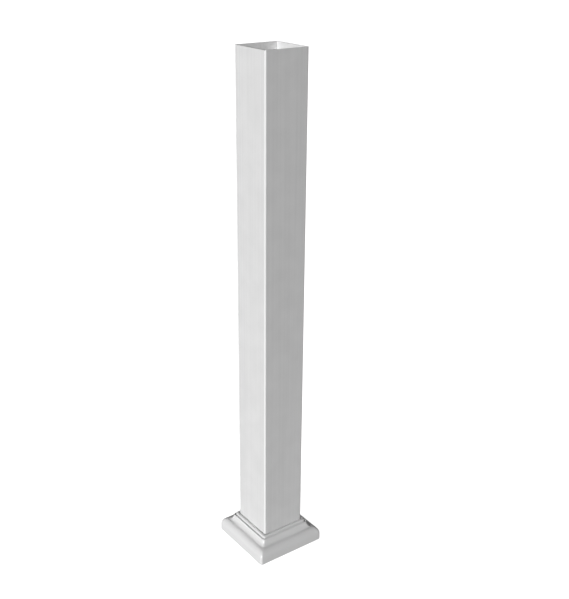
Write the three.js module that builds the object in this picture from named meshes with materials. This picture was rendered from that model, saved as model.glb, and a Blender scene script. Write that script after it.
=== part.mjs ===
// Railing newel post: a square hollow post sleeve of white PVC, open at both ends,
// and the moulded base trim that slides down the sleeve and hides its foot.
// Millimetres, +Z up. The origin is the centre of the footprint, on the deck that both pieces stand on.

import * as THREE from 'three';

// Post sleeve, a nominal 4 in square extrusion cut to a 44 in length
const sleeveSide = 101.6;
const sleeveLength = 1117.6;
const sleeveWall = 3.2;
const sleeveCorner = 3.2;
const boreCorner = 0.5;
const sleeveRings = 4;

// Base trim: its members from the deck up, each with its run outwards and its rise,
// and the free play round the sleeve that the trim slides down with
const plinthHeight = 14;
const ovoloRun = 13.1;
const ovoloRise = 17.7;
const cavettoRun = 9.4;
const cavettoRise = 14.1;
const lipWidth = 0.8;
const quirkWidth = 2.6;
const quirkDepth = 5;
const collarWidth = 5.7;
const collarRise = 5;
const collarRound = 2.6;
const collarClearance = 1.8;
const trimWall = 2.4;

// Fineness: a corner's quarter turn has twice cornerSteps facets, a moulding's quarter turn has arcSteps
const cornerSteps = 3;
const arcSteps = 6;

// Section points nearer to each other than this are one point
const samePoint = 0.01;

// White PVC: the sleeve is a satin extrusion, the trim a slightly glossier moulding
const sleeveMaterial = new THREE.MeshStandardMaterial({ color: 0xeeeeec, roughness: 0.42, metalness: 0 });
const trimMaterial = new THREE.MeshStandardMaterial({ color: 0xf1f1ef, roughness: 0.34, metalness: 0 });

// A square outline with quarter-round corners, counter-clockwise, added to a Shape or a Path
function roundedSquare(outline, halfSide, radius) {
  const inset = halfSide - radius;
  outline.absarc(inset, inset, radius, 0, Math.PI / 2);
  outline.absarc(-inset, inset, radius, Math.PI / 2, Math.PI);
  outline.absarc(-inset, -inset, radius, Math.PI, 1.5 * Math.PI);
  outline.absarc(inset, -inset, radius, 1.5 * Math.PI, 2 * Math.PI);
  outline.closePath();
  return outline;
}

// The sleeve is one rounded square inside another, extruded over its whole length
function sleeveGeometry() {
  const halfSide = sleeveSide / 2;
  const section = roundedSquare(new THREE.Shape(), halfSide, sleeveCorner);
  section.holes.push(roundedSquare(new THREE.Path(), halfSide - sleeveWall, boreCorner));
  return new THREE.ExtrudeGeometry(section, {
    depth: sleeveLength,
    steps: sleeveRings,
    curveSegments: cornerSteps,
    bevelEnabled: false,
  });
}

// Adds an elliptical arc to a list of points, from one angle in degrees to another, about its centre
function addArc(points, centre, run, rise, fromDegrees, toDegrees) {
  const steps = Math.max(2, Math.round(arcSteps * Math.abs(toDegrees - fromDegrees) / 90));
  for (let step = 0; step <= steps; step += 1) {
    const angle = THREE.MathUtils.degToRad(fromDegrees + (toDegrees - fromDegrees) * step / steps);
    points.push(new THREE.Vector2(centre.x + run * Math.cos(angle), centre.y + rise * Math.sin(angle)));
  }
}

// The trim's wall in section: x is the distance out from the sleeve's face, y the height.
// Outside, from the deck up: plinth, ovolo, cavetto with its lip, quirk and collar. The ovolo and the
// cavetto are quarter ellipses that meet level, in one double curve. Inside, the same curves one wall
// thickness in, under the collar's level underside.
function trimSection() {
  const collarOut = collarClearance + collarWidth;
  const quirkOut = collarOut + quirkWidth;
  const cavettoOut = quirkOut + lipWidth;
  const turn = cavettoOut + cavettoRun;
  const reach = turn + ovoloRun;
  const shelf = plinthHeight + ovoloRise + cavettoRise;
  const quirkFloor = shelf - quirkDepth;
  const top = shelf + collarRise;
  const innerFloor = quirkFloor - trimWall;
  const ovolo = new THREE.Vector2(turn, plinthHeight);
  const cavetto = new THREE.Vector2(turn, shelf);
  const collarEdge = new THREE.Vector2(collarOut - collarRound, top - collarRound);
  const innerRise = cavettoRise + trimWall;
  const innerStart = 180 + THREE.MathUtils.radToDeg(Math.asin((shelf - innerFloor) / innerRise));

  const points = [new THREE.Vector2(reach, 0)];
  addArc(points, ovolo, ovoloRun, ovoloRise, 0, 90);
  addArc(points, cavetto, cavettoRun, cavettoRise, 270, 180);
  points.push(new THREE.Vector2(quirkOut, shelf));
  points.push(new THREE.Vector2(quirkOut, quirkFloor));
  points.push(new THREE.Vector2(collarOut, quirkFloor));
  addArc(points, collarEdge, collarRound, collarRound, 0, 90);
  points.push(new THREE.Vector2(collarClearance, top));
  points.push(new THREE.Vector2(collarClearance, innerFloor));
  addArc(points, cavetto, cavettoRun + trimWall, innerRise, innerStart, 270);
  addArc(points, ovolo, ovoloRun - trimWall, ovoloRise - trimWall, 90, 0);
  points.push(new THREE.Vector2(reach - trimWall, 0));
  return points.filter((point, index) => index === 0 || point.distanceTo(points[index - 1]) > samePoint);
}

// The trim is its section carried round the sleeve on rounded squares.
// Every square's corners have the radius that clears the sleeve's own corners by the collar's play.
function trimGeometry() {
  const radius = sleeveCorner + collarClearance;
  const rings = trimSection().map((point) => {
    const outline = roundedSquare(new THREE.Path(), sleeveSide / 2 + point.x, radius);
    // The outline's last point is its first again, so it is dropped
    const corners = outline.getPoints(cornerSteps).slice(0, -1);
    return corners.map((corner) => new THREE.Vector3(corner.x, corner.y, point.y));
  });
  const around = rings[0].length;
  const triangles = [];
  for (let row = 0; row < rings.length; row += 1) {
    const nextRow = (row + 1) % rings.length;
    for (let column = 0; column < around; column += 1) {
      const nextColumn = (column + 1) % around;
      const a = row * around + column;
      const b = row * around + nextColumn;
      const c = nextRow * around + nextColumn;
      const d = nextRow * around + column;
      triangles.push(a, b, c, a, c, d);
    }
  }
  const geometry = new THREE.BufferGeometry().setFromPoints(rings.flat());
  geometry.setIndex(triangles);
  geometry.computeVertexNormals();
  return geometry;
}

function namedMesh(name, geometry, material) {
  const mesh = new THREE.Mesh(geometry, material);
  mesh.name = name;
  return mesh;
}

const newelPost = new THREE.Group();
newelPost.add(namedMesh('post_sleeve', sleeveGeometry(), sleeveMaterial));
newelPost.add(namedMesh('base_trim', trimGeometry(), trimMaterial));

export default newelPost;
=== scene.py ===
"""A railing newel post in white PVC: a square hollow post sleeve standing in its moulded base trim.

Both pieces are a wall section carried round a square with rounded corners. The sleeve's width and
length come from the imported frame. Sections are drawn in millimetres, and meshes are in metres.
"""

import math

import bpy
import numpy as np
from mathutils import Matrix, Vector


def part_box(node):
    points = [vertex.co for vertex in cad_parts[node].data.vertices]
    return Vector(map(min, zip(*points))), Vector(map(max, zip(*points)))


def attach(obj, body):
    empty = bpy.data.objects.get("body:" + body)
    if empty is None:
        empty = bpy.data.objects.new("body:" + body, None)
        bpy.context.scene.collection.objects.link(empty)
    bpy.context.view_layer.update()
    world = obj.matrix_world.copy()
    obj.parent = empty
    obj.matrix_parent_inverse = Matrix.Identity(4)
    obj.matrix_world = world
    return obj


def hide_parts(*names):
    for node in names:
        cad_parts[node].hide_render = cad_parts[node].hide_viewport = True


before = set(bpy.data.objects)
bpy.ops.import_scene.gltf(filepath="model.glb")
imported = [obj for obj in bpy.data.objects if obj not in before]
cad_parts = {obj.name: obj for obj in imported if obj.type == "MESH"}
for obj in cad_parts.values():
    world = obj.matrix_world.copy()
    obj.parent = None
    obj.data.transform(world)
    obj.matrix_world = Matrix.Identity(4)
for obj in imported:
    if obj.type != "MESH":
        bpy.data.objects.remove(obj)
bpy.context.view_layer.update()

MM = 0.001
IMAGE_SIZE = (569, 599)

# Sleeve, as extruded and cut
SLEEVE_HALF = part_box("post_sleeve")[1][0] / MM
SLEEVE_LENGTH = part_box("post_sleeve")[1][2] / MM
SLEEVE_WALL = 3.2
SLEEVE_CORNER = 3.2
BORE_CORNER = 0.5
CUT_EDGE = 0.35

# Base trim: heights and widths of its members from the deck up, its play round the sleeve and its wall
PLINTH_HEIGHT = 14.0
OVOLO_RUN = 13.1
OVOLO_RISE = 17.7
CAVETTO_RUN = 9.4
CAVETTO_RISE = 14.1
LIP_WIDTH = 0.8
QUIRK_WIDTH = 2.6
QUIRK_DEPTH = 5.0
COLLAR_WIDTH = 5.7
COLLAR_RISE = 5.0
COLLAR_ROUND = 2.6
COLLAR_CLEARANCE = 1.8
TRIM_WALL = 2.4

# Small rounds that a mould leaves on fine edges, and inside the collar's mouth
FINE_ROUND = 0.3
MOUTH_ROUND = 0.8

# The cavetto's arc ends at this angle, in degrees: just short of upright, and just below its lip's round
CAVETTO_END = 182

# Fineness: how many short stretches each arc of the sections has, and each corner of the squares
CUT_EDGE_STEPS = 5
FINE_STEPS = 4
OVOLO_STEPS, CAVETTO_STEPS = 32, 28
INNER_OVOLO_STEPS, INNER_CAVETTO_STEPS = 20, 16
COLLAR_STEPS, MOUTH_STEPS = 12, 6
CORNER_STEPS = 10

# Smooth shading stays on a rounded edge when the flat beside it starts with a short face:
# its length along a section and round a corner, and the largest share of a flat that it takes
EDGE_STEP = 0.15
CORNER_STEP = 0.6
EDGE_SHARE = 0.3

# Section points nearer to each other than this are one point
SAME_POINT = 1e-4

# Refractive index of rigid PVC
PVC_IOR = 1.53

# A Mix node's sockets by number, because several of them share a name
MIX_FACTOR, MIX_NUMBER_A, MIX_NUMBER_B, MIX_COLOUR_A, MIX_COLOUR_B = 0, 2, 3, 6, 7
MIX_NUMBER_OUT, MIX_COLOUR_OUT = 0, 2

# The photograph's view: focal length in its pixels, turns in degrees, place in metres, sensor in mm
FOCAL_PX = 923.7
CAMERA_YAW, CAMERA_PITCH, CAMERA_ROLL = 36.50, 22.65, 0.55
CAMERA_PLACE = (-1.0454, -1.4613, 1.3470)
SENSOR_WIDTH = 36

# Studio: where the key light comes from, in degrees, how soft and strong it is, and the fills
KEY_AZIMUTH, KEY_ELEVATION, KEY_SOFTNESS, KEY_STRENGTH = 26.0, 14.0, 10.0, 3.15
BACK_AZIMUTHS, BACK_ELEVATION, BACK_SOFTNESS, BACK_STRENGTH = (180.0, 270.0), -6.0, 20.0, 1.0
EVEN_FILL = 0.06
BOUNCE_SIZE, BOUNCE_POWER, BOUNCE_DEPTH = 2.0, 1.7, 0.05

# Backdrops: sizes in metres, how much each glows, and how matte they are
FLOOR_SIZE, FLOOR_GLOW = 30, 0.96
DOME_RADIUS, DOME_GLOW, DOME_SEGMENTS, DOME_RINGS = 20, 1.0, 48, 24
BACKDROP_ROUGHNESS = 0.9


def arc(centre, radii, start, end, steps):
    """Points on an ellipse, from a start angle to an end angle in degrees.

    Each is the centre plus (run cos angle, rise sin angle), where radii holds the run and the rise.
    """
    angle = np.radians(np.linspace(start, end, steps + 1))
    return np.column_stack([centre[0] + radii[0] * np.cos(angle), centre[1] + radii[1] * np.sin(angle)])


def run(start, end):
    """A straight stretch between two points, with a point a short edge away from each end.

    The short edges keep the smooth shading of a rounded edge from spreading over the flat beside it.
    """
    start, end = np.array(start, float), np.array(end, float)
    edge = min(EDGE_STEP / np.linalg.norm(end - start), EDGE_SHARE)
    share = np.array([0.0, edge, 1 - edge, 1.0])
    return start + share[:, None] * (end - start)


def joined(*stretches):
    """Stretches of a closed section, end to end, without the points that repeat."""
    points = np.vstack(stretches)
    gap = np.linalg.norm(points - np.roll(points, 1, axis=0), axis=1)
    return points[gap > SAME_POINT]


def carried_round(name, section, half_side, corner_radius):
    """Carries a closed section round a square with rounded corners, and makes a mesh of it.

    A section point (u, z) gives a rounded square at height z whose side lies u outside half_side.
    Each corner of it is a quarter circle of radius corner_radius(u), about a centre that lies
    half_side + u - radius along both axes. One more point stands just off both ends of each quarter,
    on the flat side.
    """
    turn = np.radians(np.linspace(0, 90, CORNER_STEPS + 1))
    turn = np.concatenate([[0.0], turn, [math.pi / 2]])
    slide = np.zeros(len(turn))
    slide[0], slide[-1] = -CORNER_STEP, CORNER_STEP
    quarter = np.arange(4)[:, None] * math.pi / 2
    angle = (turn[None, :] + quarter).ravel()
    slide = np.tile(slide, 4)
    side_x = np.repeat([1, -1, -1, 1], len(turn))
    side_y = np.repeat([1, 1, -1, -1], len(turn))
    u, z = section[:, 0:1], section[:, 1:2]
    radius = corner_radius(u)
    inset = half_side + u - radius
    x = inset * side_x + radius * np.cos(angle) - slide * np.sin(angle)
    y = inset * side_y + radius * np.sin(angle) + slide * np.cos(angle)
    grid = np.stack([x, y, np.broadcast_to(z, x.shape)], axis=-1) * MM
    rows, columns = x.shape
    corner = np.arange(rows * columns).reshape(rows, columns)
    below = np.roll(corner, -1, axis=0)
    faces = np.stack([corner, np.roll(corner, -1, axis=1), np.roll(below, -1, axis=1), below], axis=-1)
    mesh = bpy.data.meshes.new(name)
    mesh.from_pydata(grid.reshape(-1, 3), [], faces.reshape(-1, 4))
    mesh.polygons.foreach_set("use_smooth", np.ones(len(mesh.polygons), bool))
    mesh.update()
    piece = bpy.data.objects.new(name, mesh)
    bpy.context.scene.collection.objects.link(piece)
    return piece


def sleeve_section():
    """The sleeve's wall in section: a tall narrow box, with its four edges broken by deburring."""
    broken = (CUT_EDGE, CUT_EDGE)
    out, inside = -CUT_EDGE, CUT_EDGE - SLEEVE_WALL
    low, high = CUT_EDGE, SLEEVE_LENGTH - CUT_EDGE
    return joined(
        run((0, low), (0, high)),
        arc((out, high), broken, 0, 90, CUT_EDGE_STEPS),
        run((out, SLEEVE_LENGTH), (inside, SLEEVE_LENGTH)),
        arc((inside, high), broken, 90, 180, CUT_EDGE_STEPS),
        run((-SLEEVE_WALL, high), (-SLEEVE_WALL, low)),
        arc((inside, low), broken, 180, 270, CUT_EDGE_STEPS),
        run((inside, 0), (out, 0)),
        arc((out, low), broken, 270, 360, CUT_EDGE_STEPS),
    )


def trim_section():
    """The trim's wall in section, from the deck up: plinth, ovolo, cavetto with its lip, quirk and collar.

    The ovolo and the cavetto are quarter ellipses that meet level, in one double curve. Inside, the same
    curves run one wall thickness in, up to the collar's level underside. The inner cavetto meets it at
    180 degrees plus the angle whose sine is the underside's depth below the arc's centre, over its rise.
    """
    collar_out = COLLAR_CLEARANCE + COLLAR_WIDTH
    quirk_out = collar_out + QUIRK_WIDTH
    cavetto_out = quirk_out + LIP_WIDTH
    turn = cavetto_out + CAVETTO_RUN
    reach = turn + OVOLO_RUN
    shelf = PLINTH_HEIGHT + OVOLO_RISE + CAVETTO_RISE
    quirk = shelf - QUIRK_DEPTH
    top = shelf + COLLAR_RISE
    inner_floor = quirk - TRIM_WALL
    inner_run, inner_rise = CAVETTO_RUN + TRIM_WALL, CAVETTO_RISE + TRIM_WALL
    inner_start = 180 + math.degrees(math.asin((shelf - inner_floor) / inner_rise))
    inner_ovolo = (OVOLO_RUN - TRIM_WALL, OVOLO_RISE - TRIM_WALL)
    fine = (FINE_ROUND, FINE_ROUND)
    collar = (COLLAR_ROUND, COLLAR_ROUND)
    mouth = (MOUTH_ROUND, MOUTH_ROUND)
    lip_height = shelf - FINE_ROUND
    collar_edge = (collar_out - COLLAR_ROUND, top - COLLAR_ROUND)
    mouth_out = COLLAR_CLEARANCE + MOUTH_ROUND
    return joined(
        run((reach, FINE_ROUND), (reach, PLINTH_HEIGHT)),
        arc((turn, PLINTH_HEIGHT), (OVOLO_RUN, OVOLO_RISE), 0, 90, OVOLO_STEPS),
        arc((turn, shelf), (CAVETTO_RUN, CAVETTO_RISE), 270, CAVETTO_END, CAVETTO_STEPS),
        arc((cavetto_out - FINE_ROUND, lip_height), fine, 0, 90, FINE_STEPS),
        arc((quirk_out + FINE_ROUND, lip_height), fine, 90, 180, FINE_STEPS),
        run((quirk_out, lip_height), (quirk_out, quirk)),
        run((collar_out, quirk), (collar_out, top - COLLAR_ROUND)),
        arc(collar_edge, collar, 0, 90, COLLAR_STEPS),
        run((collar_out - COLLAR_ROUND, top), (mouth_out, top)),
        arc((mouth_out, top - MOUTH_ROUND), mouth, 90, 180, MOUTH_STEPS),
        run((COLLAR_CLEARANCE, top - MOUTH_ROUND), (COLLAR_CLEARANCE, inner_floor)),
        arc((turn, shelf), (inner_run, inner_rise), inner_start, 270, INNER_CAVETTO_STEPS),
        arc((turn, PLINTH_HEIGHT), inner_ovolo, 90, 0, INNER_OVOLO_STEPS),
        run((reach - TRIM_WALL, PLINTH_HEIGHT), (reach - TRIM_WALL, 0)),
        arc((reach - FINE_ROUND, FINE_ROUND), fine, 270, 360, FINE_STEPS),
    )


def srgb(code):
    """Linear colour of an sRGB hex code: (c + 0.055) / 1.055 to the power 2.4, or c / 12.92 when dark."""
    shade = np.array([int(code[i : i + 2], 16) for i in (1, 3, 5)]) / 255
    linear = np.where(shade <= 0.04045, shade / 12.92, ((shade + 0.055) / 1.055) ** 2.4)
    return (*linear.tolist(), 1.0)


def add(tree, kind, links=None, **settings):
    """Adds a shader node: settings go to its inputs or its own properties, links to its inputs."""
    node = tree.nodes.new(kind)
    for key, value in settings.items():
        if key in node.inputs:
            node.inputs[key].default_value = value
        else:
            setattr(node, key, value)
    for key, socket in (links or {}).items():
        tree.links.new(socket, node.inputs[key])
    return node


def surface(name):
    """A new material and its node tree, emptied."""
    material = bpy.data.materials.new(name)
    material.use_nodes = True
    material.node_tree.nodes.clear()
    return material, material.node_tree


def extruded_pvc():
    """White rigid PVC, extruded: satin, with faint draw lines down the length and a trace of haze.

    The four corners are drawn paler, a painted highlight where the key light catches them. On a flat
    face |x| + |y| is at most twice the half side less the corner's radius r, and on the middle of a
    corner it is twice the half side less (2 - sqrt 2) r, so the painted highlight rises from the first to
    the second.
    """
    # Real draw lines are finer than this, and are drawn as coarse as they need to show
    draw_line = 4 * MM
    draw_line_stretch = 150
    haze_size = 45 * MM
    relief_strength, relief_height = 0.25, 0.05 * MM
    smoothest, roughest = 0.36, 0.48
    dull_at, bright_at = 0.38, 0.62

    material, tree = surface("extruded_white_pvc")
    place = add(tree, "ShaderNodeTexCoord")
    stretch = add(
        tree,
        "ShaderNodeMapping",
        {"Vector": place.outputs["Object"]},
        Scale=(1 / draw_line, 1 / draw_line, 1 / (draw_line_stretch * draw_line)),
    )
    lines = add(tree, "ShaderNodeTexNoise", {"Vector": stretch.outputs["Vector"]}, Scale=1.0, Detail=2.0)
    haze = add(
        tree, "ShaderNodeTexNoise", {"Vector": place.outputs["Object"]}, Scale=1 / haze_size, Detail=3.0
    )
    relief = add(
        tree,
        "ShaderNodeBump",
        {"Height": lines.outputs["Fac"]},
        Strength=relief_strength,
        Distance=relief_height,
    )
    gloss = add(
        tree,
        "ShaderNodeMapRange",
        {"Value": haze.outputs["Fac"]},
        **{"To Min": smoothest, "To Max": roughest},
    )
    # Half draw lines and half haze, which is a Mix node's own starting factor
    streaks = add(
        tree,
        "ShaderNodeMix",
        {MIX_NUMBER_A: lines.outputs["Fac"], MIX_NUMBER_B: haze.outputs["Fac"]},
        data_type="FLOAT",
    )
    tint = add(tree, "ShaderNodeValToRGB", {"Fac": streaks.outputs[MIX_NUMBER_OUT]})
    dull, bright = tint.color_ramp.elements
    dull.position, bright.position = dull_at, bright_at
    dull.color, bright.color = srgb("#E5E5E5"), srgb("#EBEBEB")

    # Mask for the painted highlight on the outer corners: none on a flat face, full on the middle of a
    # corner
    split = add(tree, "ShaderNodeSeparateXYZ", {"Vector": place.outputs["Object"]})
    across = add(tree, "ShaderNodeMath", {0: split.outputs["X"]}, operation="ABSOLUTE")
    along = add(tree, "ShaderNodeMath", {0: split.outputs["Y"]}, operation="ABSOLUTE")
    both = add(tree, "ShaderNodeMath", {0: across.outputs[0], 1: along.outputs[0]}, operation="ADD")
    painted_highlight = add(
        tree,
        "ShaderNodeMapRange",
        {"Value": both.outputs[0]},
        **{
            "From Min": (2 * SLEEVE_HALF - SLEEVE_CORNER) * MM,
            "From Max": (2 * SLEEVE_HALF - (2 - math.sqrt(2)) * SLEEVE_CORNER) * MM,
        },
    )
    colour = add(
        tree,
        "ShaderNodeMix",
        {MIX_FACTOR: painted_highlight.outputs["Result"], MIX_COLOUR_A: tint.outputs["Color"]},
        data_type="RGBA",
    )
    # The painted highlight's paler colour, mixed in on the corners
    colour.inputs[MIX_COLOUR_B].default_value = srgb("#F8F8F8")
    shader = add(
        tree,
        "ShaderNodeBsdfPrincipled",
        {
            "Base Color": colour.outputs[MIX_COLOUR_OUT],
            "Roughness": gloss.outputs["Result"],
            "Normal": relief.outputs["Normal"],
        },
        IOR=PVC_IOR,
    )
    add(tree, "ShaderNodeOutputMaterial", {"Surface": shader.outputs["BSDF"]})
    return material


def moulded_pvc():
    """White rigid PVC, injection moulded: a little glossier, with the fine eroded texture of the mould."""
    # A real mould's texture is finer than this grain, and is drawn as coarse as it needs to show
    grain_size = 1.2 * MM
    flow_size = 30 * MM
    relief_strength, relief_height = 0.15, 0.05 * MM
    smoothest, roughest = 0.28, 0.38

    material, tree = surface("moulded_white_pvc")
    place = add(tree, "ShaderNodeTexCoord")
    grain = add(
        tree, "ShaderNodeTexNoise", {"Vector": place.outputs["Object"]}, Scale=1 / grain_size, Detail=2.0
    )
    flow = add(
        tree, "ShaderNodeTexNoise", {"Vector": place.outputs["Object"]}, Scale=1 / flow_size, Detail=2.0
    )
    relief = add(
        tree,
        "ShaderNodeBump",
        {"Height": grain.outputs["Fac"]},
        Strength=relief_strength,
        Distance=relief_height,
    )
    gloss = add(
        tree,
        "ShaderNodeMapRange",
        {"Value": flow.outputs["Fac"]},
        **{"To Min": smoothest, "To Max": roughest},
    )
    tint = add(tree, "ShaderNodeValToRGB", {"Fac": flow.outputs["Fac"]})
    dull, bright = tint.color_ramp.elements
    dull.color, bright.color = srgb("#E9E9E9"), srgb("#ECECEC")
    shader = add(
        tree,
        "ShaderNodeBsdfPrincipled",
        {
            "Base Color": tint.outputs["Color"],
            "Roughness": gloss.outputs["Result"],
            "Normal": relief.outputs["Normal"],
        },
        IOR=PVC_IOR,
    )
    add(tree, "ShaderNodeOutputMaterial", {"Surface": shader.outputs["BSDF"]})
    return material


def post_pieces():
    """The sleeve and the trim, each in place of its solid."""
    sleeve = carried_round(
        "sleeve_extrusion",
        sleeve_section(),
        SLEEVE_HALF,
        lambda u: SLEEVE_CORNER + (SLEEVE_CORNER - BORE_CORNER) * u / SLEEVE_WALL,
    )
    sleeve.data.materials.append(extruded_pvc())
    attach(sleeve, "root")
    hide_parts("post_sleeve")

    trim = carried_round(
        "trim_moulding",
        trim_section(),
        SLEEVE_HALF,
        lambda u: np.full_like(u, SLEEVE_CORNER + COLLAR_CLEARANCE),
    )
    trim.data.materials.append(moulded_pvc())
    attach(trim, "root")
    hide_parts("base_trim")


def glowing(name, glow, albedo):
    """A matte studio surface with the albedo's colour, which also glows white like a light table."""
    material, tree = surface(name)
    shader = add(
        tree,
        "ShaderNodeBsdfPrincipled",
        **{
            "Base Color": srgb(albedo),
            "Roughness": BACKDROP_ROUGHNESS,
            "Emission Color": srgb("#FFFFFF"),
            "Emission Strength": glow,
        },
    )
    add(tree, "ShaderNodeOutputMaterial", {"Surface": shader.outputs["BSDF"]})
    return material


def light(name, kind, energy, place, towards, **settings):
    """A light at a place, pointing along a direction."""
    data = bpy.data.lights.new(name, kind)
    data.energy = energy
    for key, value in settings.items():
        setattr(data, key, value)
    lamp = bpy.data.objects.new(name, data)
    bpy.context.scene.collection.objects.link(lamp)
    turn = Vector(towards).to_track_quat("-Z", "Y").to_matrix().to_4x4()
    lamp.matrix_world = Matrix.Translation(place) @ turn
    return lamp


def distant_light(name, azimuth, elevation, softness, strength):
    """A sun-like light, with its source towards (-cos turn cos lift, -sin turn cos lift, sin lift).

    Turn is the azimuth and lift the elevation, both given in degrees.
    """
    turn, lift = math.radians(azimuth), math.radians(elevation)
    source = Vector((-math.cos(turn) * math.cos(lift), -math.sin(turn) * math.cos(lift), math.sin(lift)))
    return light(name, "SUN", strength, source, -source, angle=math.radians(softness))


def studio():
    """A pale floor under a pale dome, a soft key light from the left front and weak fills.

    The light that a pale floor throws back up comes from a large panel just under the floor, and the
    floor lets it through. Two weak lights from behind, each facing one far side, keep that side and the
    corners beside it from going dark. They only graze the near sides, and don't show in reflections.
    """
    bpy.ops.mesh.primitive_plane_add(size=FLOOR_SIZE)
    floor = bpy.context.object
    floor.name = "studio_floor"
    floor.data.materials.append(glowing("pale_floor", FLOOR_GLOW, "#F4F4F4"))
    bpy.ops.mesh.primitive_uv_sphere_add(segments=DOME_SEGMENTS, ring_count=DOME_RINGS, radius=DOME_RADIUS)
    dome = bpy.context.object
    dome.name = "studio_dome"
    dome.data.materials.append(glowing("pale_dome", DOME_GLOW, "#000000"))
    for backdrop in (floor, dome):
        backdrop.visible_diffuse = False
        backdrop.visible_glossy = False
        backdrop.visible_shadow = False

    world = bpy.data.worlds.new("even_fill")
    bpy.context.scene.world = world
    world.use_nodes = True
    world.node_tree.nodes["Background"].inputs["Color"].default_value = srgb("#FFFFFF")
    world.node_tree.nodes["Background"].inputs["Strength"].default_value = EVEN_FILL

    distant_light("key_light", KEY_AZIMUTH, KEY_ELEVATION, KEY_SOFTNESS, KEY_STRENGTH)
    for azimuth in BACK_AZIMUTHS:
        back = distant_light("back_fill", azimuth, BACK_ELEVATION, BACK_SOFTNESS, BACK_STRENGTH)
        back.visible_glossy = False
    under_floor = (0, 0, -BOUNCE_DEPTH)
    light("floor_bounce", "AREA", BOUNCE_POWER, under_floor, (0, 0, 1), shape="SQUARE", size=BOUNCE_SIZE)
    bpy.context.scene.view_settings.view_transform = "Standard"


def camera():
    """The photograph's view: a camera above and in front of the near corner, looking down at the post.

    Yaw turns the view from +Y towards +X, pitch lowers it and roll turns the picture about its middle.
    """
    yaw, pitch, roll = (math.radians(turn) for turn in (CAMERA_YAW, CAMERA_PITCH, CAMERA_ROLL))
    forward = Vector((math.sin(yaw) * math.cos(pitch), math.cos(yaw) * math.cos(pitch), -math.sin(pitch)))
    right = Vector((math.cos(yaw), -math.sin(yaw), 0))
    up = right.cross(forward)
    tilted_right = right * math.cos(roll) + up * math.sin(roll)
    tilted_up = up * math.cos(roll) - right * math.sin(roll)
    data = bpy.data.cameras.new("photo_camera")
    data.sensor_width = SENSOR_WIDTH
    data.lens = FOCAL_PX * SENSOR_WIDTH / max(IMAGE_SIZE)
    seen_from = bpy.data.objects.new("photo_camera", data)
    bpy.context.scene.collection.objects.link(seen_from)
    turn = Matrix((tilted_right, tilted_up, -forward)).transposed()
    seen_from.matrix_world = Matrix.Translation(CAMERA_PLACE) @ turn.to_4x4()
    bpy.context.scene.camera = seen_from


camera()
post_pieces()
studio()
